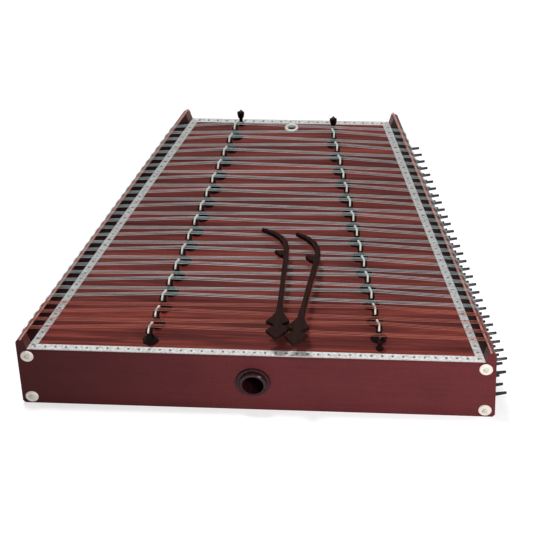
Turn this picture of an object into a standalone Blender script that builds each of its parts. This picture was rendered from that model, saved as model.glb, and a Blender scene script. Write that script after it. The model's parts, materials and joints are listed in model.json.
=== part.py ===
"""Trapezoid box zither with 29 triple courses, 29 bridges, two nut rods and a pair of mallets.

The instrument is drawn with x across, y from the front face to the back and z up from its underside. An empty
carries it all and puts the middle of the footprint at the world's origin. Sizes are in metres.
"""

import math

import bmesh
import bpy
from mathutils import Matrix, Vector

MM = 0.001

# Body
WIDTH_FRONT = 634 * MM
WIDTH_BACK = 329 * MM
DEPTH = 576 * MM
BOARD_TOP = 93 * MM
END_BOARD_T = 14 * MM
RAIL_T = 36 * MM
SOUNDBOARD_T = 4 * MM
BOTTOM_T = 5 * MM
BOTTOM_LEDGE = 10 * MM
RIDGE_RISE = 14.2 * MM
RIDGE_LIP = 0.8 * MM
RIDGE_SLOPE = 3.7 * MM
EDGE_R = 5 * MM
FOOT_BEVEL = 3.5 * MM
SEAT_GAP = 0.3 * MM

# Nut rods
ROD_R = 1.6 * MM
ROD_PLAY = 0.4 * MM
ROD_GROOVE = 1.0 * MM

# Inlay
STRIP_W = 10.5 * MM
STRIP_T = 1.4 * MM

# Sound holes
HOLE_X = -2.5 * MM
HOLE_Z = 47.5 * MM
HOLE_R = 14.5 * MM
HOLE_WALL = 2.0 * MM
HOLE_FLANGE_W = 8.8 * MM
HOLE_RIM_W = 4.0 * MM
HOLE_PROUD = 8.5 * MM
HOLE_FLANGE_T = 2.4 * MM
TOP_HOLE_X = 4 * MM
TOP_HOLE_IN = 22.5 * MM
TOP_HOLE_R = 6.5 * MM
TOP_HOLE_WALL = 1.5 * MM
TOP_HOLE_FLANGE_W = 4.1 * MM
TOP_HOLE_PROUD = 1.8 * MM

# Corner fastenings
BUTTON_R = 8.9 * MM
BUTTON_T = 2.2 * MM
SCREW_COVER = 4.29808 * MM
SCREW_BELOW_TOP = 12.5 * MM
SCREW_LOW = 11.5 * MM
SCREW_R = 1.9 * MM
SCREW_HEAD_R = 3.6 * MM
SCREW_HEAD_T = 1.8 * MM
SCREW_DEPTH = 34 * MM

# Courses
COURSES = 29
BASS_COURSES = 4
FIRST_COURSE = 24.8 * MM
LAST_COURSE_IN = 50.8 * MM
STEEL_R = 0.28 * MM
BASS_R = 0.4 * MM

# Bridges
ROW_NEAR_LEFT = -139.8 * MM
ROW_FAR_LEFT = -78.0 * MM
ROW_NEAR_RIGHT = 165.2 * MM
ROW_FAR_RIGHT = 67.8 * MM
BRIDGE_TOP = 24.5 * MM
FOOT_R = 11.3 * MM
FOOT_EDGE = 1.3 * MM
NECK_R = 3.1 * MM
NECK_Z = 12 * MM
HEAD_CLEAR = 2.47143 * MM
HEAD_T = 9.4 * MM
HEAD_H = 4.2 * MM
SADDLE_END = 0.7 * MM
SADDLE_T = 2.6 * MM
SADDLE_H = 2.6 * MM
SADDLE_SAG = 1.2 * MM
SADDLE_BOW = 1.8 * MM

# Pins
PIN_R = 2.1 * MM
PIN_OUT = 21 * MM
PIN_IN = 22 * MM
PIN_HEAD = 9 * MM
PIN_HEAD_HALF = 1.3 * MM
PIN_ROWS_BELOW_TOP = (17 * MM, 42 * MM, 73 * MM)
STRING_OF_ROW = (0, 1, -1)
HITCH_R = 1.8 * MM
HITCH_OUT = 4.5 * MM
HITCH_BELOW_TOP = 13 * MM
STRING_STANDOFF = 1.4 * MM
STRING_OVER_EDGE = -0.7 * MM
STRING_EDGE_DROP = 2 * MM
STRING_PAST_ROD = 0.8 * MM

# Row-end knobs: side, distance from the near or far edge of the board, and distance outward from the row
KNOB_R = 5.5 * MM
KNOB_FOOT_R = 5.1 * MM
KNOB_H = 24.5 * MM
KNOB_UNDER_STRING = 0.8 * MM
FRONT_KNOBS = {"front_right_knob": (1, 19.9 * MM, -2.0 * MM)}
BACK_KNOBS = {"back_left_knob": (-1, 16 * MM, 0.0), "back_right_knob": (1, 30.2 * MM, 4.4 * MM)}

# Inner braces
BRACE_T = 8 * MM
BRACE_WINDOW = 44 * MM
BRACE_WINDOWS = 4

# Mallets
MALLET_T = 6 * MM
MALLET_PLACES = (
    ("left_mallet", 30 * MM, -1.0 * MM, 0.0),
    ("right_mallet", 53.5 * MM, -12.3 * MM, math.radians(-5.8)),
)

# Depth to which a fused piece is sunk into the one that carries it
FIXED_IN = 3 * MM
SUNK = 0.4 * MM

TAPER = (WIDTH_FRONT - WIDTH_BACK) / 2 / DEPTH
SLANT = math.sqrt(1 + TAPER * TAPER)
RIDGE_Z = BOARD_TOP + RIDGE_RISE
ROD_GROOVE_HALF = ROD_R + ROD_PLAY
ROD_IN = EDGE_R + ROD_GROOVE_HALF
RIDGE_INNER = ROD_IN + ROD_GROOVE_HALF + RIDGE_LIP
EAR_FOOT = RIDGE_INNER + RIDGE_SLOPE
LEDGE_Z = BOARD_TOP - SOUNDBOARD_T - SEAT_GAP
ROD_Z = RIDGE_Z - ROD_GROOVE + SEAT_GAP + ROD_R
STRIP_OUT = EAR_FOOT + SEAT_GAP
RABBET_Z = BOARD_TOP - STRIP_T - SEAT_GAP
SADDLE_TOP_Z = BOARD_TOP + BRIDGE_TOP
SCREW_HIGH = BOARD_TOP - SCREW_BELOW_TOP
# A screw runs straight back while the rail's face slants in, so its point is the place nearest to that face
SCREW_IN = SCREW_COVER + SCREW_DEPTH * TAPER / SLANT
PIN_ROWS = tuple(BOARD_TOP - below for below in PIN_ROWS_BELOW_TOP)
HITCH_Z = BOARD_TOP - HITCH_BELOW_TOP
COURSE_PITCH = (DEPTH - FIRST_COURSE - LAST_COURSE_IN) / (COURSES - 1)
# The outer strings of a course come down beside its upper pin
STRING_PITCH = PIN_R + SEAT_GAP + BASS_R
# A bridge's head ends short of the strings of the courses beside it
HEAD_L = 2 * (COURSE_PITCH - STRING_PITCH - BASS_R - HEAD_CLEAR)
SADDLE_L = HEAD_L - 2 * SADDLE_END


def side_x(y):
    """Half the outer width at y."""
    return WIDTH_FRONT / 2 - TAPER * y


def inward(side, y, u):
    """x of a point u inside the outer face of one side, measured square to that face."""
    return side * (side_x(y) - u * SLANT)


def outward_axis(side):
    """Unit vector square to the outer face of one side."""
    return Vector((side, TAPER, 0)) / SLANT


def course_y(k):
    return FIRST_COURSE + COURSE_PITCH * k


def bridge_side(k):
    """The courses rest on the left row and on the right row by turns."""
    return -1 if k % 2 == 0 else 1


def row_x(side, y):
    """x of a bridge row at y. The rows run straight from the first course to the last."""
    near, far = (ROW_NEAR_LEFT, ROW_FAR_LEFT) if side < 0 else (ROW_NEAR_RIGHT, ROW_FAR_RIGHT)
    share = (y - course_y(0)) / (course_y(COURSES - 1) - course_y(0))
    return near + (far - near) * share


def row_angle(side):
    """Turn of a bridge about z that lines it up with its row."""
    run = course_y(COURSES - 1) - course_y(0)
    return -math.atan2(row_x(side, course_y(COURSES - 1)) - row_x(side, course_y(0)), run)


def saddle_crest(k, offset):
    """x and z of a saddle's crest where a string crosses it, offset along it from the saddle's middle."""
    side = bridge_side(k)
    share = abs(offset) / (SADDLE_L / 2)
    x = row_x(side, course_y(k) + offset) + side * SADDLE_BOW * (0.5 - share)
    return x, SADDLE_TOP_Z - SADDLE_SAG * share


def string_radius(k):
    return BASS_R if k < BASS_COURSES else STEEL_R


def string_y(k, row):
    """y of the string that ends at a row's pin; the upper row takes the middle string of each course."""
    return course_y(k) + STRING_PITCH * STRING_OF_ROW[row]


def pin_y(k, row):
    """y of a tuning pin where it leaves the rail, such that its string comes straight down onto it."""
    return string_y(k, row) - STRING_STANDOFF * TAPER / SLANT


PIN_TURN = math.atan2(TAPER, 1)
FIRST_PIN_Y = min(pin_y(0, row) for row in range(len(PIN_ROWS)))
RIGHT_REACH = side_x(FIRST_PIN_Y) + (PIN_OUT + PIN_HEAD_HALF * TAPER) / SLANT
ORIGIN_X = (RIGHT_REACH - WIDTH_FRONT / 2) / 2
FRONT_REACH = -MALLET_PLACES[1][2]
BACK_REACH = DEPTH + SCREW_HEAD_T - SUNK
ORIGIN_Y = (BACK_REACH - FRONT_REACH) / 2


def clear_scene():
    for item in list(bpy.data.objects):
        bpy.data.objects.remove(item, do_unlink=True)


def make_material(name, colour, roughness, metallic=0.0):
    material = bpy.data.materials.new(name)
    material.use_nodes = True
    shader = material.node_tree.nodes["Principled BSDF"]
    shader.inputs["Base Color"].default_value = (*colour, 1.0)
    shader.inputs["Roughness"].default_value = roughness
    shader.inputs["Metallic"].default_value = metallic
    material.diffuse_color = (*colour, 1.0)
    return material


def make_frame():
    frame = bpy.data.objects.new("instrument_frame", None)
    frame.location = (-ORIGIN_X, -ORIGIN_Y, 0)
    bpy.context.scene.collection.objects.link(frame)
    return frame


def place(name, mesh, material, frame, location=(0, 0, 0), turn=0.0):
    item = bpy.data.objects.new(name, mesh)
    bpy.context.scene.collection.objects.link(item)
    item.parent = frame
    item.location = location
    item.rotation_euler = (0, 0, turn)
    if material and not mesh.materials:
        mesh.materials.append(material)
    return item


def finish_mesh(name, bm, smooth_angle=math.radians(35)):
    bmesh.ops.recalc_face_normals(bm, faces=bm.faces)
    mesh = bpy.data.meshes.new(name)
    bm.to_mesh(mesh)
    bm.free()
    mesh.shade_smooth()
    mesh.set_sharp_from_angle(angle=smooth_angle)
    return mesh


def loft(bm, rings, closed=False, last_cap=True):
    """Skins a row of rings with as many points each; closed joins the ends, which are capped otherwise."""
    loops = [[bm.verts.new(point) for point in ring] for ring in rings]
    count = len(loops[0])
    pairs = list(zip(loops, loops[1:]))
    if closed:
        pairs.append((loops[-1], loops[0]))
    for low, high in pairs:
        for i in range(count):
            j = (i + 1) % count
            bm.faces.new((low[i], low[j], high[j], high[i]))
    if not closed:
        bm.faces.new(loops[0][::-1])
        if last_cap:
            bm.faces.new(loops[-1])
    return loops


def slab(bm, outline, z_low, z_high):
    loft(bm, [[(x, y, z) for x, y in outline] for z in (z_low, z_high)])


def turned(bm, profile, steps, matrix=Matrix.Identity(4), closed=True):
    """Turns (radius, height) pairs about z. A closed profile makes a ring, an open one is capped."""
    rings = []
    for radius, height in profile:
        ring = []
        for i in range(steps):
            angle = 2 * math.pi * i / steps
            ring.append(matrix @ Vector((radius * math.cos(angle), radius * math.sin(angle), height)))
        rings.append(ring)
    loft(bm, rings, closed)


def rod_between(bm, start, end, radius, steps):
    """A capped straight cylinder."""
    axis = end - start
    turn = axis.to_track_quat("Z", "Y").to_matrix().to_4x4()
    profile = ((radius, 0), (radius, axis.length))
    turned(bm, profile, steps, Matrix.Translation(start) @ turn, closed=False)


def cut(item, cutter):
    modifier = item.modifiers.new("Cut", "BOOLEAN")
    modifier.operation = "DIFFERENCE"
    modifier.solver = "EXACT"
    modifier.object = cutter


def fuse(item, other):
    modifier = item.modifiers.new("Join", "BOOLEAN")
    modifier.operation = "UNION"
    modifier.solver = "EXACT"
    modifier.object = other


def make_helper(name, bm, frame):
    helper = place(name, finish_mesh(name, bm), None, frame)
    helper.hide_render = True
    helper.display_type = "WIRE"
    return helper


def ridge_profile():
    """(inward, z) points over the top of a rail, from the outer face to the foot of the inner slope."""
    points = []
    for step in range(4):
        angle = math.pi / 2 * step / 3
        points.append((EDGE_R * (1 - math.cos(angle)), RIDGE_Z - EDGE_R * (1 - math.sin(angle))))
    points.append((ROD_IN - ROD_GROOVE_HALF + 0.1 * MM, RIDGE_Z))
    points.append((ROD_IN - ROD_GROOVE_HALF + 0.1 * MM, RIDGE_Z - ROD_GROOVE))
    points.append((ROD_IN + ROD_GROOVE_HALF, RIDGE_Z - ROD_GROOVE))
    points.append((ROD_IN + ROD_GROOVE_HALF, RIDGE_Z))
    points.append((RIDGE_INNER, RIDGE_Z))
    points.append((EAR_FOOT, BOARD_TOP))
    return points


def rail_section(side, y):
    """The rail's cross-section in the plane at y: ridge, ledge for the soundboard, rabbet for the bottom."""
    profile = [(0, 0)] + ridge_profile()
    profile += [(EAR_FOOT, LEDGE_Z), (RAIL_T, LEDGE_Z)]
    profile += [(RAIL_T, BOTTOM_T + SEAT_GAP), (RAIL_T - BOTTOM_LEDGE, BOTTOM_T + SEAT_GAP)]
    profile += [(RAIL_T - BOTTOM_LEDGE, 0)]
    return [(inward(side, y, u), y, z) for u, z in profile]


def end_board_section(y):
    """Outline of the front or back board in the plane at y, with an ear at each end shaped like the rail."""
    half = [(0, FOOT_BEVEL)] + ridge_profile() + [(EAR_FOOT, LEDGE_Z)]
    left = [(inward(-1, y, u), y, z) for u, z in half]
    right = [(inward(1, y, u), y, z) for u, z in reversed(half)]
    return left + right + [(inward(1, y, FOOT_BEVEL), y, 0), (inward(-1, y, FOOT_BEVEL), y, 0)]


def screw_places():
    """(side, outer y, direction into the box, z) of the eight screws in the rails' ends."""
    places = []
    for outer_y, into in ((0.0, 1), (DEPTH, -1)):
        for side in (-1, 1):
            for z in (SCREW_HIGH, SCREW_LOW):
                places.append((side, outer_y, into, z))
    return places


def screw_x(side, outer_y):
    return side * (side_x(outer_y) - SCREW_IN * SLANT)


def add_screw(bm, side, outer_y, into, z, seat):
    """A dome-headed screw whose head's flat underside stands at the height seat over the board's face."""
    profile = (
        (SCREW_R, -SCREW_DEPTH),
        (SCREW_R, seat),
        (SCREW_HEAD_R, seat),
        (SCREW_HEAD_R - 0.4 * MM, seat + SCREW_HEAD_T - 0.8 * MM),
        (SCREW_HEAD_R - 1.8 * MM, seat + SCREW_HEAD_T),
    )
    turn = Matrix.Rotation(into * math.pi / 2, 4, "X")
    matrix = Matrix.Translation((screw_x(side, outer_y), outer_y, z)) @ turn
    turned(bm, profile, 8, matrix, closed=False)


def make_screw_cutter(frame):
    bm = bmesh.new()
    for side, outer_y, into, z in screw_places():
        x = screw_x(side, outer_y)
        start = Vector((x, outer_y - into * 2 * MM, z))
        end = Vector((x, outer_y + into * (SCREW_DEPTH + SEAT_GAP), z))
        rod_between(bm, start, end, SCREW_R + SEAT_GAP, 8)
    return make_helper("screw_cutter", bm, frame)


def make_end_boards(frame, wood, screw_cutter):
    bm = bmesh.new()
    loft(bm, [end_board_section(y) for y in (0, END_BOARD_T)])
    front = place("front_board", finish_mesh("front_board", bm), wood, frame)
    cut(front, screw_cutter)
    hole = bmesh.new()
    start = Vector((HOLE_X, -1 * MM, HOLE_Z))
    end = Vector((HOLE_X, END_BOARD_T + 1 * MM, HOLE_Z))
    rod_between(hole, start, end, HOLE_R + HOLE_WALL + SEAT_GAP, 24)
    cut(front, make_helper("front_hole_cutter", hole, frame))
    bm = bmesh.new()
    loft(bm, [end_board_section(y) for y in (DEPTH - END_BOARD_T, DEPTH)])
    back = place("back_board", finish_mesh("back_board", bm), wood, frame)
    screws = bmesh.new()
    for side, outer_y, into, z in screw_places():
        if into < 0:
            add_screw(screws, side, outer_y, into, z, -SUNK)
    fuse(back, make_helper("back_screws", screws, frame))


def make_pin_holes(frame):
    """Blind holes for the upper row of tuning pins, each a little wider than its pin."""
    bm = bmesh.new()
    axis = outward_axis(1)
    radius = (PIN_R + SEAT_GAP) / math.cos(math.pi / 6)
    for k in range(COURSES):
        y = pin_y(k, 0)
        mouth = Vector((side_x(y), y, PIN_ROWS[0]))
        rod_between(bm, mouth + axis * MM, mouth - axis * (PIN_IN + SEAT_GAP), radius, 6)
    return make_helper("pin_holes", bm, frame)


def make_lower_pins(frame):
    """The two lower rows of tuning pins, driven into the rail."""
    bm = bmesh.new()
    for row in (1, 2):
        for k in range(COURSES):
            y = pin_y(k, row)
            matrix = Matrix.Translation((side_x(y), y, PIN_ROWS[row])) @ Matrix.Rotation(PIN_TURN, 4, "Z")
            rings = []
            for x, half in ((-FIXED_IN, PIN_R), (PIN_OUT, PIN_HEAD_HALF)):
                square = ((half, half), (-half, half), (-half, -half), (half, -half))
                rings.append([matrix @ Vector((x, across, up)) for across, up in square])
            loft(bm, rings)
    return make_helper("lower_pins", bm, frame)


def make_hitch_pins(frame):
    bm = bmesh.new()
    axis = outward_axis(-1)
    for k in range(COURSES):
        y = course_y(k)
        mouth = Vector((-side_x(y), y, HITCH_Z))
        rod_between(bm, mouth - axis * FIXED_IN, mouth + axis * HITCH_OUT, HITCH_R, 5)
    return make_helper("hitch_pins", bm, frame)


def make_rails(frame, wood, screw_cutter):
    ends = (END_BOARD_T + SEAT_GAP, DEPTH - END_BOARD_T - SEAT_GAP)
    for name, side in (("left_rail", -1), ("right_rail", 1)):
        bm = bmesh.new()
        loft(bm, [rail_section(side, y) for y in ends])
        rail = place(name, finish_mesh(name, bm), wood, frame)
        cut(rail, screw_cutter)
        if side > 0:
            cut(rail, make_pin_holes(frame))
            fuse(rail, make_lower_pins(frame))
        else:
            fuse(rail, make_hitch_pins(frame))


def oval(half_x, half_y, square):
    """Eight (x, y) points round an oval, from the middle of its +x side; square runs from 0, round, to 1."""
    corner = math.sqrt(0.5) * (1 - square) + square
    x, y = half_x * corner, half_y * corner
    return [(half_x, 0), (x, y), (0, half_y), (-x, y), (-half_x, 0), (-x, -y), (0, -half_y), (x, -y)]


def add_bridge(bm, side, matrix):
    """A turned foot that flares from a thin neck, a long rounded head, and a saddle bowed out to the rail."""
    def level(points, z, sag=0.0, bow=0.0):
        ring = []
        for i, (x, y) in enumerate(points):
            middle = i in (0, 4)
            shift = side * bow * (0.5 if middle else -0.5)
            ring.append(matrix @ Vector((x + shift, y, z if middle else z - sag)))
        return ring

    rings = [level(oval(FOOT_R, FOOT_R, 0), -SUNK)]
    for share in (0, 0.4, 1):
        radius = NECK_R + (FOOT_R - NECK_R) * (1 - share) ** 2.2
        rings.append(level(oval(radius, radius, 0), FOOT_EDGE + (NECK_Z - FOOT_EDGE) * share))
    head_top = BRIDGE_TOP - SADDLE_H
    half_l, half_t = HEAD_L / 2, HEAD_T / 2
    saddle_l, saddle_t = SADDLE_L / 2, SADDLE_T / 2
    rings.append(level(oval(NECK_R, half_l - 1.6 * MM, 0.3), head_top - HEAD_H, SADDLE_SAG / 2))
    rings.append(level(oval(half_t, half_l, 0.45), head_top - 0.4 * HEAD_H, SADDLE_SAG / 2))
    rings.append(level(oval(half_t - 1.0 * MM, half_l - 0.3 * MM, 0.6), head_top - 0.1 * MM, SADDLE_SAG))
    rings.append(level(oval(saddle_t, saddle_l, 1), head_top, SADDLE_SAG, SADDLE_BOW))
    rings.append(level(oval(saddle_t - 0.4 * MM, saddle_l - 0.3 * MM, 1), BRIDGE_TOP, SADDLE_SAG, SADDLE_BOW))
    top = loft(bm, rings, last_cap=False)[-1]
    bm.faces.new(top[:5])
    bm.faces.new(top[4:] + top[:1])


def make_soundboard(frame, wood):
    def outline(inset_y, u):
        front, back = inset_y, DEPTH - inset_y
        return [
            (inward(-1, front, u), front),
            (inward(1, front, u), front),
            (inward(1, back, u), back),
            (inward(-1, back, u), back),
        ]

    full = outline(0, STRIP_OUT)
    field = outline(STRIP_W + SEAT_GAP, STRIP_OUT + STRIP_W + SEAT_GAP)
    bm = bmesh.new()
    levels = ((full, BOARD_TOP - SOUNDBOARD_T), (full, RABBET_Z), (field, RABBET_Z), (field, BOARD_TOP))
    loft(bm, [[(x, y, z) for x, y in ring] for ring, z in levels])
    board = place("soundboard", finish_mesh("soundboard", bm), wood, frame)
    hole = bmesh.new()
    centre = Vector((TOP_HOLE_X, DEPTH - TOP_HOLE_IN, BOARD_TOP))
    reach = Vector((0, 0, SOUNDBOARD_T + 2 * MM))
    rod_between(hole, centre - reach, centre + reach, TOP_HOLE_R + TOP_HOLE_WALL + SEAT_GAP, 20)
    cut(board, make_helper("top_hole_cutter", hole, frame))
    bridges = bmesh.new()
    for k in range(COURSES):
        side = bridge_side(k)
        y = course_y(k)
        matrix = Matrix.Translation((row_x(side, y), y, BOARD_TOP)) @ Matrix.Rotation(row_angle(side), 4, "Z")
        add_bridge(bridges, side, matrix)
    fuse(board, make_helper("bridges", bridges, frame))


def make_bottom(frame, wood):
    front = END_BOARD_T + SEAT_GAP
    back = DEPTH - END_BOARD_T - SEAT_GAP
    u = RAIL_T - BOTTOM_LEDGE + SEAT_GAP
    outline = [
        (inward(-1, front, u), front),
        (inward(1, front, u), front),
        (inward(1, back, u), back),
        (inward(-1, back, u), back),
    ]
    bm = bmesh.new()
    slab(bm, outline, 0, BOTTOM_T)
    place("bottom_board", finish_mesh("bottom_board", bm), wood, frame)


def make_strips(frame, inlay):
    """Four mitred inlay strips in the rabbet round the soundboard."""
    low = BOARD_TOP - STRIP_T
    mitre = 0.35 * MM

    def end_strip(name, outer_y, inner_y):
        outline = [
            (inward(-1, outer_y, STRIP_OUT) + mitre, outer_y),
            (inward(1, outer_y, STRIP_OUT) - mitre, outer_y),
            (inward(1, inner_y, STRIP_OUT + STRIP_W) - mitre, inner_y),
            (inward(-1, inner_y, STRIP_OUT + STRIP_W) + mitre, inner_y),
        ]
        bm = bmesh.new()
        slab(bm, outline, low, BOARD_TOP)
        place(name, finish_mesh(name, bm), inlay, frame)

    end_strip("front_inlay", 0, STRIP_W)
    end_strip("back_inlay", DEPTH, DEPTH - STRIP_W)
    for name, side in (("left_inlay", -1), ("right_inlay", 1)):
        inner = STRIP_OUT + STRIP_W
        outline = [
            (inward(side, 0, STRIP_OUT), 0),
            (inward(side, DEPTH, STRIP_OUT), DEPTH),
            (inward(side, DEPTH - STRIP_W, inner), DEPTH - STRIP_W),
            (inward(side, STRIP_W, inner), STRIP_W),
        ]
        bm = bmesh.new()
        slab(bm, outline, low, BOARD_TOP)
        place(name, finish_mesh(name, bm), inlay, frame)


def make_front_ring(frame, wood):
    """Turned ring through the front board; its local height runs out of the board."""
    tube = HOLE_R + HOLE_WALL
    flange, rim = HOLE_R + HOLE_FLANGE_W, HOLE_R + HOLE_RIM_W
    profile = (
        (HOLE_R, -END_BOARD_T),
        (tube, -END_BOARD_T),
        (tube, SEAT_GAP),
        (flange, SEAT_GAP),
        (flange - 0.8 * MM, HOLE_FLANGE_T),
        (rim + 0.5 * MM, HOLE_FLANGE_T + 0.4 * MM),
        (rim, HOLE_PROUD - 1.6 * MM),
        (rim - 1.4 * MM, HOLE_PROUD),
        (HOLE_R, HOLE_PROUD - 0.6 * MM),
    )
    bm = bmesh.new()
    matrix = Matrix.Translation((HOLE_X, 0, HOLE_Z)) @ Matrix.Rotation(math.pi / 2, 4, "X")
    turned(bm, profile, 22, matrix)
    place("front_sound_hole_ring", finish_mesh("front_sound_hole_ring", bm), wood, frame)


def make_top_ring(frame, bone):
    tube = TOP_HOLE_R + TOP_HOLE_WALL
    flange = TOP_HOLE_R + TOP_HOLE_FLANGE_W
    profile = (
        (TOP_HOLE_R, -SOUNDBOARD_T),
        (tube, -SOUNDBOARD_T),
        (tube, SEAT_GAP),
        (flange, SEAT_GAP),
        (flange - 0.8 * MM, TOP_HOLE_PROUD),
        (TOP_HOLE_R + 0.8 * MM, TOP_HOLE_PROUD),
        (TOP_HOLE_R, TOP_HOLE_PROUD - 0.7 * MM),
    )
    bm = bmesh.new()
    turned(bm, profile, 18, Matrix.Translation((TOP_HOLE_X, DEPTH - TOP_HOLE_IN, BOARD_TOP)))
    place("top_sound_hole_ring", finish_mesh("top_sound_hole_ring", bm), bone, frame)


def make_buttons(frame, bone):
    """Flat discs under the heads of the four front screws."""
    bore = SCREW_R + SEAT_GAP + 0.2 * MM
    profile = ((BUTTON_R, SEAT_GAP), (BUTTON_R, BUTTON_T - 0.9 * MM), (BUTTON_R - 0.9 * MM, BUTTON_T),
               (bore, BUTTON_T), (bore, SEAT_GAP))
    for side, outer_y, into, z in screw_places():
        if into > 0:
            bm = bmesh.new()
            turn = Matrix.Rotation(math.pi / 2, 4, "X")
            turned(bm, profile, 16, Matrix.Translation((screw_x(side, outer_y), outer_y, z)) @ turn)
            name = corner_name(side, z) + "_button"
            place(name, finish_mesh(name, bm), bone, frame)


def corner_name(side, z):
    return ("left" if side < 0 else "right") + ("_upper" if z == SCREW_HIGH else "_lower")


def make_screws(frame, metal):
    """The front screws, each through a button, the front board and into the end of a rail."""
    for side, outer_y, into, z in screw_places():
        if into > 0:
            bm = bmesh.new()
            add_screw(bm, side, outer_y, into, z, BUTTON_T + SEAT_GAP)
            name = corner_name(side, z) + "_screw"
            place(name, finish_mesh(name, bm), metal, frame)


def knob_places():
    """(name, x, y, height) of the knobs; one under the first course stays clear of the course's strings."""
    places = []
    for name, (side, inset, outward) in FRONT_KNOBS.items():
        x = row_x(side, inset) + side * outward
        start, end = string_route(0, 0)[3:5]
        string_z = start.z + (end.z - start.z) * (x - start.x) / (end.x - start.x) - string_radius(0)
        places.append((name, x, inset, min(KNOB_H, string_z - BOARD_TOP - KNOB_UNDER_STRING)))
    for name, (side, inset, outward) in BACK_KNOBS.items():
        y = DEPTH - inset
        places.append((name, row_x(side, y) + side * outward, y, KNOB_H))
    return places


def make_knobs(frame, wood):
    """Turned tulip knobs past the ends of the rows; the rim of each rises in four petals."""
    steps = 12
    for name, x, y, height in knob_places():
        rise = height - SEAT_GAP
        profile = ((KNOB_FOOT_R, 0.0), (KNOB_FOOT_R, 0.12), (0.5 * KNOB_R, 0.24), (0.45 * KNOB_R, 0.42),
                   (0.85 * KNOB_R, 0.58), (KNOB_R, 0.78), (0.95 * KNOB_R, 0.92), (0.5 * KNOB_R, 0.8))
        rings = []
        for index, (radius, level) in enumerate(profile):
            petal = 0.08 * rise if index == len(profile) - 2 else 0.0
            ring = []
            for i in range(steps):
                angle = 2 * math.pi * i / steps
                z = BOARD_TOP + SEAT_GAP + level * rise + petal * math.cos(4 * angle)
                ring.append((x + radius * math.cos(angle), y + radius * math.sin(angle), z))
            rings.append(ring)
        bm = bmesh.new()
        loft(bm, rings)
        place(name, finish_mesh(name, bm), wood, frame)


def make_braces(frame, wood):
    """A pierced plank under each bridge row, between the bottom board and the soundboard."""
    front, back = END_BOARD_T + SEAT_GAP, DEPTH - END_BOARD_T - SEAT_GAP
    low, high = BOTTOM_T + SEAT_GAP, BOARD_TOP - SOUNDBOARD_T - SEAT_GAP
    for side, name in ((-1, "left_brace"), (1, "right_brace")):
        bm = bmesh.new()
        half = BRACE_T / 2 / math.cos(row_angle(side))
        outline = [(row_x(side, front) - half, front), (row_x(side, front) + half, front),
                   (row_x(side, back) + half, back), (row_x(side, back) - half, back)]
        slab(bm, outline, low, high)
        cutter = bmesh.new()
        for i in range(BRACE_WINDOWS):
            y = front + (back - front) * (i + 0.5) / BRACE_WINDOWS
            middle = Vector((row_x(side, y), y, (low + high) / 2))
            reach = Vector((2 * BRACE_T, 0, 0))
            rod_between(cutter, middle - reach, middle + reach, BRACE_WINDOW / 2, 12)
        brace = place(name, finish_mesh(name, bm), wood, frame)
        cut(brace, make_helper(name + "_windows", cutter, frame))


def pin_rings(inside):
    """Rings of a tuning pin along its own +X: a six-sided shank, then a square tapered head."""
    rings = []
    for x in (-inside, PIN_OUT - PIN_HEAD):
        corners = [(math.cos(math.pi * i / 3), math.sin(math.pi * i / 3)) for i in range(6)]
        rings.append([(x, PIN_R * c, PIN_R * s) for c, s in corners])
    half = PIN_HEAD_HALF
    square = ((half, 0), (half, half), (-half, half), (-half, 0), (-half, -half), (half, -half))
    rings.append([(PIN_OUT, y, z) for y, z in square])
    return rings


def make_tuning_pins(frame, metal):
    """The upper row: each pin is a piece of its own and turns on its own axis."""
    bm = bmesh.new()
    loft(bm, pin_rings(PIN_IN))
    shared = finish_mesh("tuning_pin", bm)
    for k in range(COURSES):
        y = pin_y(k, 0)
        place(f"tuning_pin_{k + 1:02d}", shared, metal, frame, (side_x(y), y, PIN_ROWS[0]), PIN_TURN)


def string_route(k, row):
    """Points of one string: hitch pin, over the left edge and rod, saddle, right rod and edge, tuning pin."""
    radius = string_radius(k)
    y = string_y(k, row)
    sideways = STRING_OF_ROW[row]
    over_rod = ROD_Z + ROD_R + SEAT_GAP + radius
    in_rod = ROD_Z + ROD_R
    side = bridge_side(k)
    saddle_x, saddle_z = saddle_crest(k, STRING_PITCH * sideways)
    left_z, right_z = (in_rod, over_rod) if side < 0 else (over_rod, in_rod)
    hitch_reach = HITCH_R + SEAT_GAP + radius
    hitch_y = course_y(k) + (sideways * hitch_reach + STRING_STANDOFF * TAPER) / SLANT
    hitch_z = HITCH_Z if sideways else HITCH_Z + hitch_reach
    return [
        Vector((inward(-1, hitch_y, -STRING_STANDOFF), hitch_y, hitch_z)),
        Vector((inward(-1, y, STRING_OVER_EDGE), y, RIDGE_Z - STRING_EDGE_DROP)),
        Vector((inward(-1, y, ROD_IN - STRING_PAST_ROD), y, left_z)),
        Vector((saddle_x, y, saddle_z + SEAT_GAP + radius)),
        Vector((inward(1, y, ROD_IN - STRING_PAST_ROD), y, right_z)),
        Vector((inward(1, y, STRING_OVER_EDGE), y, RIDGE_Z - STRING_EDGE_DROP)),
        Vector((inward(1, y, -STRING_STANDOFF), y, PIN_ROWS[row] + PIN_R + SEAT_GAP + radius)),
    ]


def add_string(bm, route, radius, sides=3):
    """A thin tube along a route that stays close to one upright plane across the instrument."""
    across = Vector((0, 1, 0))
    rings = []
    for i, point in enumerate(route):
        before = (point - route[i - 1]).normalized() if i else (route[1] - point).normalized()
        after = (route[i + 1] - point).normalized() if i + 1 < len(route) else before
        heading = (before + after).normalized()
        lift = heading.cross(across).normalized() / max(heading.dot(after), 0.5)
        ring = []
        for s in range(sides):
            angle = 2 * math.pi * s / sides - math.pi / 2
            ring.append(point + radius * (math.cos(angle) * across + math.sin(angle) * lift))
        rings.append(ring)
    loft(bm, rings)


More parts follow.
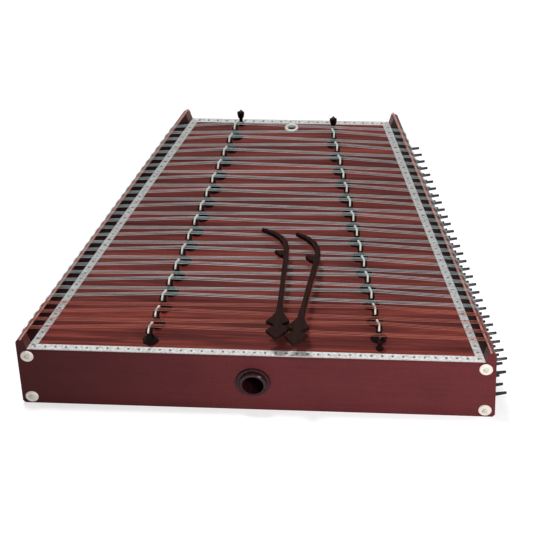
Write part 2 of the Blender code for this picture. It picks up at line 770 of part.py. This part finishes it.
def make_rods_and_strings(frame, metal):
    """Each nut rod with the courses whose bridges stand on its side; they are sunk a little in their rod."""
    for name, side in (("left_nut_rod", -1), ("right_nut_rod", 1)):
        section = [(ROD_R * math.sin(math.pi * i / 6), ROD_R * math.cos(math.pi * i / 6)) for i in range(12)]
        bm = bmesh.new()
        loft(bm, [[(inward(side, y, ROD_IN + u), y, ROD_Z + z) for u, z in section] for y in (0, DEPTH)])
        rod = place(name, finish_mesh(name, bm), metal, frame)
        strings = bmesh.new()
        for k in range(0 if side < 0 else 1, COURSES, 2):
            for row in range(len(PIN_ROWS)):
                add_string(strings, string_route(k, row), string_radius(k))
        fuse(rod, make_helper(name + "_strings", strings, frame))


def mallet_outline():
    """Plan of a mallet from the point of its grip, up the stem, round the curved blade and back."""
    spine = [(0.0, 55.0, 4.0), (-1.0, 82.0, 3.2), (-2.0, 143.0, 3.0), (-2.0, 178.0, 3.1), (-2.6, 203.0, 3.2),
             (-5.5, 215.0, 3.3), (-12.0, 227.0, 3.2), (-22.5, 237.0, 2.8), (-40.5, 246.0, 2.1)]
    left, right = [], []
    for i, (x, y, half) in enumerate(spine):
        x0, y0, _ = spine[max(i - 1, 0)]
        x1, y1, _ = spine[min(i + 1, len(spine) - 1)]
        run = math.hypot(x1 - x0, y1 - y0)
        nx, ny = -(y1 - y0) / run, (x1 - x0) / run
        left.append((x + nx * half, y + ny * half))
        right.append((x - nx * half, y - ny * half))
    spur = [(-5.2, 184.0), (-11.5, 185.5), (-18.5, 193.0), (-17.5, 196.5), (-11.0, 193.0), (-5.4, 194.5)]
    left = left[:4] + spur + left[4:]
    grip_right = [(0.0, 0.0), (8.0, 10.5), (15.4, 22.5), (8.0, 26.5), (3.4, 28.6), (6.0, 32.5), (10.5, 35.6),
                  (14.8, 37.0), (14.2, 39.5), (8.5, 46.5)]
    grip_left = [(-8.0, 46.0), (-15.8, 37.5), (-16.4, 35.0), (-11.5, 33.6), (-6.5, 31.5), (-3.4, 28.0),
                 (-8.0, 23.5), (-14.8, 16.5)]
    points = grip_right + right + left[::-1] + grip_left
    return [(x * MM, y * MM) for x, y in points]


def mallet_reach(x, y, turn):
    """Lowest and highest x and highest y of a mallet where it lies."""
    points = []
    for px, py in mallet_outline():
        along, across = py * math.cos(turn) + px * math.sin(turn), px * math.cos(turn) - py * math.sin(turn)
        points.append((x + across, y + along))
    return min(px for px, _ in points), max(px for px, _ in points), max(py for _, py in points)


def mallet_rest_z():
    """Underside of both mallets: just above the highest string that passes below one of them."""
    highest = 0.0
    for _, x, y, turn in MALLET_PLACES:
        low_x, high_x, high_y = mallet_reach(x, y, turn)
        for k in range(COURSES):
            if course_y(k) - STRING_PITCH > high_y:
                continue
            route = string_route(k, 0)
            start = route[3]
            end = route[4] if bridge_side(k) < 0 else route[2]
            for edge in (low_x, high_x):
                share = min(max((edge - start.x) / (end.x - start.x), 0.0), 1.0)
                highest = max(highest, start.z + (end.z - start.z) * share + string_radius(k))
    return highest + SEAT_GAP


def make_mallets(frame, wood):
    rest = mallet_rest_z()
    for name, x, y, turn in MALLET_PLACES:
        bm = bmesh.new()
        slab(bm, mallet_outline(), 0, MALLET_T)
        rims = [edge for edge in bm.edges if abs(edge.verts[0].co.z - edge.verts[1].co.z) < 1e-6]
        bmesh.ops.bevel(bm, geom=rims, offset=0.8 * MM, segments=1, affect="EDGES")
        place(name, finish_mesh(name, bm), wood, frame, (x, y, rest), turn)


def build():
    clear_scene()
    frame = make_frame()
    board = make_material("red_board", (0.165, 0.047, 0.038), 0.38)
    casing = make_material("dark_red_casing", (0.085, 0.022, 0.022), 0.34)
    plain = make_material("plain_wood", (0.32, 0.2, 0.11), 0.6)
    ebony = make_material("ebony", (0.02, 0.012, 0.012), 0.25)
    bone = make_material("bone", (0.8, 0.77, 0.7), 0.4)
    inlay = make_material("inlay", (0.78, 0.77, 0.74), 0.45)
    steel = make_material("steel", (0.6, 0.62, 0.63), 0.3, 1.0)
    blued = make_material("blued_steel", (0.05, 0.05, 0.055), 0.35, 1.0)
    mallet_wood = make_material("mallet_wood", (0.07, 0.035, 0.025), 0.5)
    screw_cutter = make_screw_cutter(frame)
    make_end_boards(frame, casing, screw_cutter)
    make_rails(frame, casing, screw_cutter)
    make_soundboard(frame, board)
    make_bottom(frame, plain)
    make_braces(frame, plain)
    make_strips(frame, inlay)
    make_front_ring(frame, ebony)
    make_top_ring(frame, bone)
    make_buttons(frame, bone)
    make_screws(frame, steel)
    make_knobs(frame, ebony)
    make_tuning_pins(frame, blued)
    make_rods_and_strings(frame, steel)
    make_mallets(frame, mallet_wood)


build()
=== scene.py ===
"""Looks of the santoor: wood, inlay, horn, metal, soft studio light and the photograph's viewing angle."""

import json
import math

import bpy
from mathutils import Matrix, Vector

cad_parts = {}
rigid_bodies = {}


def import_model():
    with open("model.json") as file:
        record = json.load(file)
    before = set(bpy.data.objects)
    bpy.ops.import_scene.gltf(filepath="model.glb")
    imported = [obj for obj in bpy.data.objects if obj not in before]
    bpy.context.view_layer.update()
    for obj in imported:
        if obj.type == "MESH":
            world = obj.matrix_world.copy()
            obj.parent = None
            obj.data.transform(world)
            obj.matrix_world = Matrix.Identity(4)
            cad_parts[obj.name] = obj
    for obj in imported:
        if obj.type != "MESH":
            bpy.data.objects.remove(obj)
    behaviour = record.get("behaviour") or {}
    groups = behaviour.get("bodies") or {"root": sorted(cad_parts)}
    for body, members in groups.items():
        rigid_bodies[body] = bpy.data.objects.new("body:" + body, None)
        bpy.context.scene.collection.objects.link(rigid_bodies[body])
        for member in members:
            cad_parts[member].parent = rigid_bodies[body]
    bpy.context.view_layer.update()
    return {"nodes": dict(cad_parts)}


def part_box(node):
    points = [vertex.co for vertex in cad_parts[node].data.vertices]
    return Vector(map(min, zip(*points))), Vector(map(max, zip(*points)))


for old in list(bpy.data.objects):
    bpy.data.objects.remove(old, do_unlink=True)

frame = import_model()

MM = 0.001
WIDTH_FRONT, WIDTH_BACK, DEPTH = 634 * MM, 329 * MM, 576 * MM
BOARD_TOP = 93 * MM
BRIDGE_TOP, SADDLE_L, SADDLE_H, SADDLE_SAG = 24.5 * MM, 23 * MM, 2.6 * MM, 1.2 * MM
COURSES, BASS_COURSES = 29, 4
FIRST_COURSE, LAST_COURSE = 24.8 * MM, DEPTH - 50.8 * MM
COURSE_PITCH = (LAST_COURSE - FIRST_COURSE) / (COURSES - 1)
ROD_IN, ROD_R, ROD_Z = 7.0 * MM, 1.6 * MM, 108.1 * MM
STRIP_OUT, STRIP_W = 13.8 * MM, 10.5 * MM

# The instrument's own coordinates start at the middle of the front board's lower edge
front_low, front_high = (Vector(corner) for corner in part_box("front_board"))
ORIGIN = Vector((-(front_low.x + front_high.x) / 2, -front_low.y, 0))
TAPER = (WIDTH_FRONT - WIDTH_BACK) / 2 / DEPTH
SLANT = math.sqrt(1 + TAPER * TAPER)


# ---- node helpers

class Nodes:
    """A material's node tree with short ways to add and join nodes."""

    def __init__(self, name):
        self.material = bpy.data.materials.new(name)
        self.material.use_nodes = True
        self.tree = self.material.node_tree
        self.shader = self.tree.nodes["Principled BSDF"]
        self.coords = self.tree.nodes.new("ShaderNodeTexCoord").outputs["Object"]

    def add(self, kind, **settings):
        node = self.tree.nodes.new(kind)
        for key, value in settings.items():
            setattr(node, key, value)
        return node

    def link(self, source, target):
        self.tree.links.new(source, target)

    def value(self, socket, value):
        """Sets a socket to a number, or links it to another node's output."""
        if isinstance(value, bpy.types.NodeSocket):
            self.link(value, socket)
        else:
            socket.default_value = value

    def mapped(self, scale, location=(0, 0, 0), rotation=(0, 0, 0)):
        node = self.add("ShaderNodeMapping")
        self.link(self.coords, node.inputs["Vector"])
        node.inputs["Scale"].default_value = scale
        node.inputs["Location"].default_value = location
        node.inputs["Rotation"].default_value = rotation
        return node.outputs["Vector"]

    def noise(self, vector, scale=1.0, detail=4.0, roughness=0.55, distortion=0.0):
        node = self.add("ShaderNodeTexNoise")
        self.link(vector, node.inputs["Vector"])
        node.inputs["Scale"].default_value = scale
        node.inputs["Detail"].default_value = detail
        node.inputs["Roughness"].default_value = roughness
        node.inputs["Distortion"].default_value = distortion
        return node.outputs["Fac"]

    def ramp(self, factor, stops):
        node = self.add("ShaderNodeValToRGB")
        self.link(factor, node.inputs["Fac"])
        elements = node.color_ramp.elements
        while len(elements) < len(stops):
            elements.new(0.5)
        for element, (position, colour) in zip(elements, stops):
            element.position = position
            element.color = (*colour, 1.0) if len(colour) == 3 else colour
        return node.outputs["Color"]

    def levels(self, factor, low, high, out_low, out_high):
        node = self.add("ShaderNodeMapRange")
        self.link(factor, node.inputs["Value"])
        for name, number in (("From Min", low), ("From Max", high), ("To Min", out_low), ("To Max", out_high)):
            node.inputs[name].default_value = number
        return node.outputs["Result"]

    def math(self, operation, a, b=0.0):
        node = self.add("ShaderNodeMath", operation=operation)
        self.value(node.inputs[0], a)
        self.value(node.inputs[1], b)
        return node.outputs[0]

    def mix(self, factor, a, b, blend="MIX"):
        node = self.add("ShaderNodeMix", data_type="RGBA", blend_type=blend)
        self.value(node.inputs["Factor"], factor)
        for socket, value in ((node.inputs[6], a), (node.inputs[7], b)):
            self.value(socket, (*value, 1.0) if isinstance(value, tuple) else value)
        return node.outputs[2]

    def separate(self, vector):
        node = self.add("ShaderNodeSeparateXYZ")
        self.link(vector, node.inputs[0])
        return node.outputs

    def bump(self, height, strength, distance=0.0005):
        node = self.add("ShaderNodeBump")
        self.link(height, node.inputs["Height"])
        node.inputs["Strength"].default_value = strength
        node.inputs["Distance"].default_value = distance
        self.link(node.outputs["Normal"], self.shader.inputs["Normal"])

    def set(self, **sockets):
        for name, value in sockets.items():
            self.value(self.shader.inputs[name.replace("_", " ")], value)
        return self.material


def streaked_wood(name, dark, middle, light, along, roughness=0.5, streak=1.0, gloss=0.2, seed=0.0):
    """Varnished wood whose figure runs along one axis: broad bands, narrow streaks and fine pores."""
    nodes = Nodes(name)
    slow, fast = 3.2, 42.0
    axes = {"X": 0, "Y": 1, "Z": 2}
    scale = [fast, fast, fast]
    scale[axes[along]] = slow
    place = (seed, seed * 1.7, seed * 2.3)
    bands = nodes.noise(nodes.mapped(scale, place), 1.0, 5.0, 0.6, 0.35)
    fine = [230.0, 230.0, 230.0]
    fine[axes[along]] = 9.0
    lines = nodes.noise(nodes.mapped(fine, place), 1.0, 3.0, 0.6, 0.2)
    pore = [1500.0, 1500.0, 1500.0]
    pore[axes[along]] = 60.0
    pores = nodes.noise(nodes.mapped(pore, place), 1.0, 2.0, 0.5)
    patches = nodes.noise(nodes.mapped((5, 5, 5), place), 1.0, 2.0, 0.5)
    figure = nodes.math("ADD", nodes.math("MULTIPLY", bands, 0.5), nodes.math("MULTIPLY", lines, 0.5))
    spread = 0.17 / streak
    colour = nodes.ramp(figure, ((0.5 - spread, dark), (0.5, middle), (0.5 + spread * 0.85, light)))
    colour = nodes.mix(nodes.levels(pores, 0.58, 0.75, 0.0, 0.35), colour, tuple(c * 0.45 for c in dark))
    shade = nodes.levels(patches, 0.3, 0.7, 0.9, 1.1)
    tint = nodes.add("ShaderNodeCombineColor")
    for i in range(3):
        nodes.link(shade, tint.inputs[i])
    colour = nodes.mix(1.0, colour, tint.outputs[0], "MULTIPLY")
    rough = nodes.levels(lines, 0.3, 0.7, roughness - 0.06, roughness + 0.06)
    height = nodes.math("ADD", nodes.math("MULTIPLY", lines, 0.5), nodes.math("MULTIPLY", pores, 0.5))
    nodes.bump(height, 0.12, 0.0003)
    return nodes.set(Base_Color=colour, Roughness=rough, Specular_IOR_Level=gloss)


def plain_varnish(name, colour, roughness=0.48, gloss=0.2, seed=0.0):
    """Stained and varnished board: faint mottling, a little orange peel and dust, and painted shade that darkens it
    towards its left end.
    """
    nodes = Nodes(name)
    place = (seed, seed, seed)
    mottle = nodes.noise(nodes.mapped((14, 14, 14), place), 1.0, 5.0, 0.6)
    grain = nodes.noise(nodes.mapped((12, 260, 260), place), 1.0, 3.0, 0.6)
    mixed = nodes.math("ADD", nodes.math("MULTIPLY", mottle, 0.6), nodes.math("MULTIPLY", grain, 0.4))
    dark = tuple(c * 0.82 for c in colour)
    light = tuple(c * 1.16 for c in colour)
    tone = nodes.ramp(mixed, ((0.32, dark), (0.5, colour), (0.68, light)))
    flecks = nodes.noise(nodes.mapped((330, 330, 330), place), 1.0, 2.0, 0.6)
    tone = nodes.mix(nodes.levels(flecks, 0.45, 0.8, 0.0, 0.4), tone, tuple(c * 0.55 for c in colour))
    # Painted shade: the colour darkens towards the left end (object x below -0.04 m), standing in for the light
    # falling off there.
    painted_end_shade = nodes.levels(nodes.separate(nodes.coords)[0], -0.32, -0.04, 0.72, 0.0)
    tone = nodes.mix(painted_end_shade, tone, tuple(c * 0.3 for c in colour))
    peel = nodes.noise(nodes.mapped((420, 420, 420), place), 1.0, 2.0, 0.5)
    nodes.bump(peel, 0.05, 0.0003)
    rough = nodes.levels(mottle, 0.3, 0.7, roughness - 0.05, roughness + 0.06)
    return nodes.set(Base_Color=tone, Roughness=rough, Specular_IOR_Level=gloss)


def polished_dark(name, colour, roughness, gloss):
    """Polished dark wood: turning lines barely seen under a glossy coat."""
    nodes = Nodes(name)
    grain = nodes.noise(nodes.mapped((180, 180, 900)), 1.0, 4.0, 0.6)
    tone = nodes.ramp(grain, ((0.35, tuple(c * 0.6 for c in colour)), (0.65, tuple(c * 1.7 for c in colour))))
    rough = nodes.levels(grain, 0.3, 0.7, roughness - 0.05, roughness + 0.08)
    nodes.bump(grain, 0.05, 0.0002)
    return nodes.set(Base_Color=tone, Roughness=rough, Specular_IOR_Level=gloss)


def carved_dark(name):
    """Matt dark brown wood of the mallets: long grain and pores."""
    nodes = Nodes(name)
    grain = nodes.noise(nodes.mapped((420, 22, 420)), 1.0, 4.0, 0.62, 0.3)
    pores = nodes.noise(nodes.mapped((1800, 120, 1800)), 1.0, 2.0, 0.5)
    tone = nodes.ramp(grain, ((0.32, (0.006, 0.002, 0.0014)), (0.52, (0.013, 0.0046, 0.0034)), (0.7, (0.028, 0.011, 0.0075))))
    tone = nodes.mix(nodes.levels(pores, 0.6, 0.75, 0.0, 0.5), tone, (0.006, 0.003, 0.0025))
    nodes.bump(nodes.math("ADD", grain, pores), 0.15, 0.0003)
    rough = nodes.levels(grain, 0.3, 0.7, 0.5, 0.68)
    return nodes.set(Base_Color=tone, Roughness=rough, Specular_IOR_Level=0.04)


def horn(name, colour=(0.72, 0.68, 0.6), roughness=0.38):
    """Cream horn or bone: cloudy, with faint streaks of grime."""
    nodes = Nodes(name)
    cloud = nodes.noise(nodes.mapped((160, 160, 160)), 1.0, 4.0, 0.6)
    streaks = nodes.noise(nodes.mapped((1400, 1400, 200)), 1.0, 3.0, 0.5)
    tone = nodes.ramp(cloud, ((0.3, tuple(c * 0.82 for c in colour)), (0.7, colour)))
    tone = nodes.mix(nodes.levels(streaks, 0.55, 0.8, 0.0, 0.4), tone, (0.45, 0.38, 0.3))
    nodes.bump(streaks, 0.05, 0.0002)
    return nodes.set(Base_Color=tone, Roughness=roughness, Subsurface_Weight=0.05, Coat_Weight=0.15)


def wire(name, colour, roughness=0.32, metal=1.0):
    """Drawn wire: metal with streaks along it and slightly tarnished stretches."""
    nodes = Nodes(name)
    tarnish = nodes.noise(nodes.mapped((30, 400, 400)), 1.0, 4.0, 0.6)
    tone = nodes.ramp(tarnish, ((0.35, tuple(c * 0.7 for c in colour)), (0.6, colour)))
    rough = nodes.levels(tarnish, 0.3, 0.7, roughness + 0.1, roughness - 0.05)
    return nodes.set(Base_Color=tone, Roughness=rough, Metallic=metal)


def inlay_marks(name, along, step, shade=1.0):
    """Off-white strip with a row of small dark marks down its middle and slanting grey strokes between them."""
    nodes = Nodes(name)
    turn = {"X": 0.0, "LEFT": math.atan(TAPER), "RIGHT": -math.atan(TAPER)}[along]
    parts = nodes.separate(nodes.mapped((1, 1, 1), rotation=(0, 0, turn)))
    run = parts[0] if along == "X" else parts[1]
    across = nodes.add("ShaderNodeAttribute", attribute_name="across_strip").outputs["Fac"]
    wobble = nodes.noise(nodes.mapped((700, 700, 700)), 1.0, 2.0, 0.5)
    uneven = nodes.noise(nodes.mapped((75, 75, 75)), 1.0, 1.0, 0.5)
    cloud = nodes.noise(nodes.mapped((260, 260, 260)), 1.0, 4.0, 0.65)
    reach = nodes.math("MULTIPLY", nodes.math("SUBTRACT", wobble, 0.5), 2.2 * MM)
    off_line = nodes.math("ABSOLUTE", across)

    def from_repeat(value, share):
        """Distance to the nearest of the places that repeat every step, shifted by a share of it."""
        phase = nodes.math("FRACT", nodes.math("ADD", nodes.math("DIVIDE", value, step), 10.0 + share))
        return nodes.math("MULTIPLY", nodes.math("ABSOLUTE", nodes.math("SUBTRACT", phase, 0.5)), step)

    def distance(a, b):
        return nodes.math("SQRT", nodes.math("ADD", nodes.math("POWER", a, 2.0), nodes.math("POWER", b, 2.0)))

    mark = distance(from_repeat(run, 0.0), nodes.math("MULTIPLY", off_line, 0.8))
    mark = nodes.levels(nodes.math("ADD", mark, reach), 1.3 * MM, 2.1 * MM, 0.85, 0.0)
    slanted = nodes.math("ADD", run, nodes.math("MULTIPLY", across, 0.9))
    stroke = nodes.levels(nodes.math("ADD", from_repeat(slanted, 0.5), reach), 0.5 * MM, 1.3 * MM, 1.0, 0.0)
    short = nodes.levels(off_line, 1.9 * MM, 2.9 * MM, 1.0, 0.0)
    stroke = nodes.math("MULTIPLY", nodes.math("MULTIPLY", stroke, short), nodes.levels(uneven, 0.42, 0.6, 0.1, 0.6))
    rim = nodes.levels(off_line, 4.6 * MM, 5.0 * MM, 0.0, 0.3)
    stops = ((0.34, (0.42, 0.41, 0.39)), (0.5, (0.66, 0.66, 0.65)), (0.68, (0.8, 0.8, 0.79)))
    # shade scales the whole strip's colour; for the side strips it is painted shade.
    tone = nodes.ramp(cloud, tuple((place, tuple(c * shade for c in colour)) for place, colour in stops))
    tone = nodes.mix(stroke, tone, (0.2, 0.2, 0.17))
    tone = nodes.mix(mark, tone, nodes.ramp(uneven, ((0.42, (0.1, 0.045, 0.05)), (0.56, (0.055, 0.06, 0.05)))))
    tone = nodes.mix(rim, tone, (0.35, 0.3, 0.29))
    return nodes.set(Base_Color=tone, Roughness=0.45, Specular_IOR_Level=0.3)


# ---- places on the object

def local(point):
    """A world point in the instrument's own coordinates."""
    return point + ORIGIN


def inset(point, side):
    """Distance of a point inside the outer face of one side."""
    return (WIDTH_FRONT / 2 - TAPER * point.y - side * point.x) / SLANT


def paint(name, materials, choose=None):
    """Gives a CAD node its materials; choose picks one for each face from the face's centre."""
    obj = frame["nodes"][name]
    mesh = obj.data
    mesh.materials.clear()
    for material in materials:
        mesh.materials.append(material)
    for face in mesh.polygons:
        face.material_index = choose(local(face.center), face.normal) if choose else 0
    return obj


def smooth(name, degrees=35):
    mesh = frame["nodes"][name].data
    mesh.shade_smooth()
    mesh.set_sharp_from_angle(angle=math.radians(degrees))


def soften(name, width, segments=2, degrees=40):
    """Rounds a piece's edges a little, so that they catch the light."""
    bevel = frame["nodes"][name].modifiers.new("Edges", "BEVEL")
    bevel.width = width
    bevel.segments = segments
    bevel.limit_method = "ANGLE"
    bevel.angle_limit = math.radians(degrees)
    bevel.harden_normals = True


# ---- materials

board_wood = streaked_wood("soundboard_wood", (0.045, 0.008, 0.008), (0.108, 0.021, 0.018), (0.22, 0.045, 0.033), "X",
                           streak=1.15, gloss=0.06)
# Its left end is darkened by painted shade.
casing_front = plain_varnish("casing_varnish", (0.112, 0.021, 0.024), gloss=0.08, seed=3.0)
casing_side = streaked_wood("rail_wood", (0.03, 0.006, 0.006), (0.07, 0.013, 0.013), (0.12, 0.025, 0.022), "Y",
                            roughness=0.42, seed=5.0, gloss=0.3)
# The rails' inner slopes: the same rail wood as above, made about five times darker as painted shade.
rail_slope_shaded = streaked_wood("rail_slope_painted_shade", (0.006, 0.001, 0.0015), (0.014, 0.002, 0.003), (0.03, 0.005, 0.006), "Y",
                           roughness=0.42, seed=5.0, gloss=0.04)
under_wood = streaked_wood("bottom_wood", (0.2, 0.115, 0.06), (0.3, 0.185, 0.1), (0.38, 0.25, 0.15), "Y",
                           roughness=0.6, gloss=0.3, seed=9.0)
dark_wood = polished_dark("polished_ebony", (0.007, 0.0014, 0.002), 0.16, 0.06)
ring_wood = polished_dark("turned_rosewood", (0.02, 0.0035, 0.0055), 0.14, 0.2)
mallet_wood = carved_dark("mallet_wood")
bone = horn("bone")
disc_horn = horn("disc_horn", (0.86, 0.73, 0.66), 0.42)
steel = wire("steel_wire", (0.56, 0.7, 0.7), 0.33, 0.65)
copper = wire("copper_wire", (0.38, 0.105, 0.07), 0.4, 0.5)
rod_metal = wire("rod_copper", (0.42, 0.2, 0.165), 0.35)
pin_metal = wire("pin_steel", (0.035, 0.035, 0.038), 0.4)
screw_metal = wire("screw_steel", (0.5, 0.52, 0.45), 0.55, 0.4)
# One inlay on all four strips, its colour scaled per strip: the side strips' lower shares are painted shade, so they
# render darker than the front and back strips.
strip_front = inlay_marks("inlay_across", "X", 13.95 * MM, 0.86)
strip_left = inlay_marks("inlay_left", "LEFT", 13.95 * MM, 0.68)
strip_right = inlay_marks("inlay_right", "RIGHT", 13.95 * MM, 0.72)


# ---- painting the nodes

def board_face(centre, normal):
    height = centre.z - BOARD_TOP
    if height < 0.15 * MM:
        return 3 if abs(normal.y) > 0.7 else 0
    k = min(max(round((centre.y - FIRST_COURSE) / COURSE_PITCH), 0), COURSES - 1)
    along = abs(centre.y - (FIRST_COURSE + COURSE_PITCH * k))
    share = min(along / (SADDLE_L / 2), 1.0)
    return 2 if height > BRIDGE_TOP - SADDLE_H - SADDLE_SAG * share + 0.3 * MM else 1


def wire_face(side):
    def choose(centre, normal):
        away = math.hypot(inset(centre, side) - ROD_IN, centre.z - ROD_Z)
        if away < ROD_R * 1.03:
            return 0
        return 1 if centre.y < FIRST_COURSE + COURSE_PITCH * (BASS_COURSES - 0.5) else 2
    return choose


def end_face(centre, normal):
    """Front and back boards: varnished face, polished ears, back screws."""
    if centre.y > DEPTH + 0.1 * MM:
        return 2
    return 1 if centre.z > BOARD_TOP - 5 * MM and abs(normal.y) < 0.7 else 0


def rail_face(side):
    def choose(centre, normal):
        depth = inset(centre, side)
        if depth < -0.05 * MM:
            return 1
        # Faces on the inner slope get the rail wood darkened as painted shade.
        return 2 if depth > ROD_IN and centre.z > BOARD_TOP - 1 * MM else 0
    return choose


paint("soundboard", (board_wood, dark_wood, bone, casing_front), board_face)
for name in ("front_board", "back_board"):
    paint(name, (casing_front, casing_side, screw_metal), end_face)
paint("left_rail", (casing_side, pin_metal, rail_slope_shaded), rail_face(-1))
paint("right_rail", (casing_side, pin_metal, rail_slope_shaded), rail_face(1))
paint("bottom_board", (under_wood,))
for name in ("left_brace", "right_brace"):
    paint(name, (under_wood,))
paint("left_nut_rod", (rod_metal, copper, steel), wire_face(-1))
paint("right_nut_rod", (rod_metal, copper, steel), wire_face(1))
paint("front_inlay", (strip_front,))
paint("back_inlay", (strip_front,))
paint("left_inlay", (strip_left,))
paint("right_inlay", (strip_right,))
paint("front_sound_hole_ring", (ring_wood,))
paint("top_sound_hole_ring", (bone,))
for corner in ("left_upper", "left_lower", "right_upper", "right_lower"):
    paint(corner + "_button", (disc_horn,))
    paint(corner + "_screw", (screw_metal,))
for name in ("front_right_knob", "back_left_knob", "back_right_knob"):
    paint(name, (dark_wood,))
    smooth(name, 60)
for name in ("left_mallet", "right_mallet"):
    paint(name, (mallet_wood,))
    soften(name, 1.2 * MM, 2, 30)
for number in range(1, 30):
    name = f"tuning_pin_{number:02d}"
    paint(name, (pin_metal,))
    smooth(name, 50)
for name in ("soundboard", "left_nut_rod", "right_nut_rod", "front_sound_hole_ring", "top_sound_hole_ring"):
    smooth(name, 50)
for name in ("left_rail", "right_rail", "front_board", "back_board"):
    smooth(name, 32)


def store_across(name, line):
    """Keeps each strip vertex's distance from the strip's middle line, for the row of marks."""
    mesh = frame["nodes"][name].data
    attribute = mesh.attributes.new("across_strip", "FLOAT", "POINT")
    for vertex in mesh.vertices:
        attribute.data[vertex.index].value = line(local(vertex.co))


store_across("front_inlay", lambda p: p.y - STRIP_W / 2)
store_across("back_inlay", lambda p: p.y - (DEPTH - STRIP_W / 2))
store_across("left_inlay", lambda p: inset(p, -1) - STRIP_OUT - STRIP_W / 2)
store_across("right_inlay", lambda p: inset(p, 1) - STRIP_OUT - STRIP_W / 2)


# ---- studio

def backdrop_rays(tree):
    """1 for the rays that see the white background: from the camera, off glossy surfaces and through glass."""
    path = tree.nodes.new("ShaderNodeLightPath")
    seen = path.outputs["Is Camera Ray"]
    for ray in ("Is Glossy Ray", "Is Transmission Ray"):
        either = tree.nodes.new("ShaderNodeMath")
        either.operation = "MAXIMUM"
        tree.links.new(seen, either.inputs[0])
        tree.links.new(path.outputs[ray], either.inputs[1])
        seen = either.outputs[0]
    return seen


def add_floor():
    mesh = bpy.data.meshes.new("floor")
    size = 12.0
    mesh.from_pydata([(-size, -size, 0), (size, -size, 0), (size, size, 0), (-size, size, 0)], [], [(0, 1, 2, 3)])
    floor = bpy.data.objects.new("floor", mesh)
    bpy.context.scene.collection.objects.link(floor)
    material = bpy.data.materials.new("floor_white")
    material.use_nodes = True
    tree = material.node_tree
    shader = tree.nodes["Principled BSDF"]
    shader.inputs["Base Color"].default_value = (0.66, 0.66, 0.66, 1)
    shader.inputs["Roughness"].default_value = 0.95
    shader.inputs["Specular IOR Level"].default_value = 0.1
    coords = tree.nodes.new("ShaderNodeTexCoord")
    away = tree.nodes.new("ShaderNodeVectorMath")
    away.operation = "LENGTH"
    tree.links.new(coords.outputs["Object"], away.inputs[0])
    amount = tree.nodes.new("ShaderNodeMapRange")
    for name, number in (("From Min", 0.7), ("From Max", 2.0), ("To Min", 0.5), ("To Max", 1.0)):
        amount.inputs[name].default_value = number
    tree.links.new(away.outputs["Value"], amount.inputs["Value"])
    glow = tree.nodes.new("ShaderNodeEmission")
    glow.inputs["Color"].default_value = (1, 1, 1, 1)
    strength = tree.nodes.new("ShaderNodeMath")
    strength.operation = "MULTIPLY"
    tree.links.new(amount.outputs["Result"], strength.inputs[1])
    tree.links.new(backdrop_rays(tree), strength.inputs[0])
    tree.links.new(strength.outputs[0], glow.inputs["Strength"])
    total = tree.nodes.new("ShaderNodeAddShader")
    tree.links.new(shader.outputs[0], total.inputs[0])
    tree.links.new(glow.outputs[0], total.inputs[1])
    tree.links.new(total.outputs[0], tree.nodes["Material Output"].inputs["Surface"])
    mesh.materials.append(material)


def add_world():
    world = bpy.data.worlds.new("studio")
    bpy.context.scene.world = world
    world.use_nodes = True
    tree = world.node_tree
    background = tree.nodes["Background"]
    background.inputs["Color"].default_value = (1, 1, 1, 1)
    amount = tree.nodes.new("ShaderNodeMapRange")
    amount.inputs["To Min"].default_value = 0.22
    amount.inputs["To Max"].default_value = 1.0
    tree.links.new(backdrop_rays(tree), amount.inputs["Value"])
    tree.links.new(amount.outputs["Result"], background.inputs["Strength"])


def add_softbox(name, place, target, width, height, power):
    light = bpy.data.lights.new(name, "AREA")
    light.shape = "RECTANGLE"
    light.size, light.size_y = width, height
    light.energy = power
    lamp = bpy.data.objects.new(name, light)
    lamp.location = place
    lamp.rotation_euler = (Vector(target) - Vector(place)).to_track_quat("-Z", "Y").to_euler()
    bpy.context.scene.collection.objects.link(lamp)


def add_camera():
    """The photograph's camera, solved from the object's outline."""
    azimuth, elevation, roll = math.radians(6.857), math.radians(36.186), math.radians(-2.64)
    look_at = Vector((-16.565, 322.6, 0)) * MM - ORIGIN
    back = Vector((math.sin(azimuth) * math.cos(elevation), -math.cos(azimuth) * math.cos(elevation),
                   math.sin(elevation)))
    right = Vector((math.cos(azimuth), math.sin(azimuth), 0))
    up = back.cross(right)
    turned_right = math.cos(roll) * right + math.sin(roll) * up
    turned_up = -math.sin(roll) * right + math.cos(roll) * up
    data = bpy.data.cameras.new("camera")
    data.sensor_width = 36
    data.lens = 2110.1 / 533 * 36
    data.clip_end = 50
    camera = bpy.data.objects.new("camera", data)
    camera.matrix_world = Matrix.Translation(look_at + back * 3.082) @ Matrix(
        (turned_right, turned_up, back)).transposed().to_4x4()
    bpy.context.scene.collection.objects.link(camera)
    bpy.context.scene.camera = camera


add_floor()
add_world()
add_softbox("key", (-0.38, 0.1, 2.38), (0, 0, 0.05), 0.4, 0.4, 39)
add_softbox("front", (0.6, -1.0, 0.5), (0.15, -0.3, 0.05), 0.5, 0.5, 8.2)
add_softbox("back", (-0.33, 2.5, 1.85), (0, 0, 0.1), 0.6, 0.4, 2)
add_camera()
bpy.context.scene.view_settings.view_transform = "Standard"
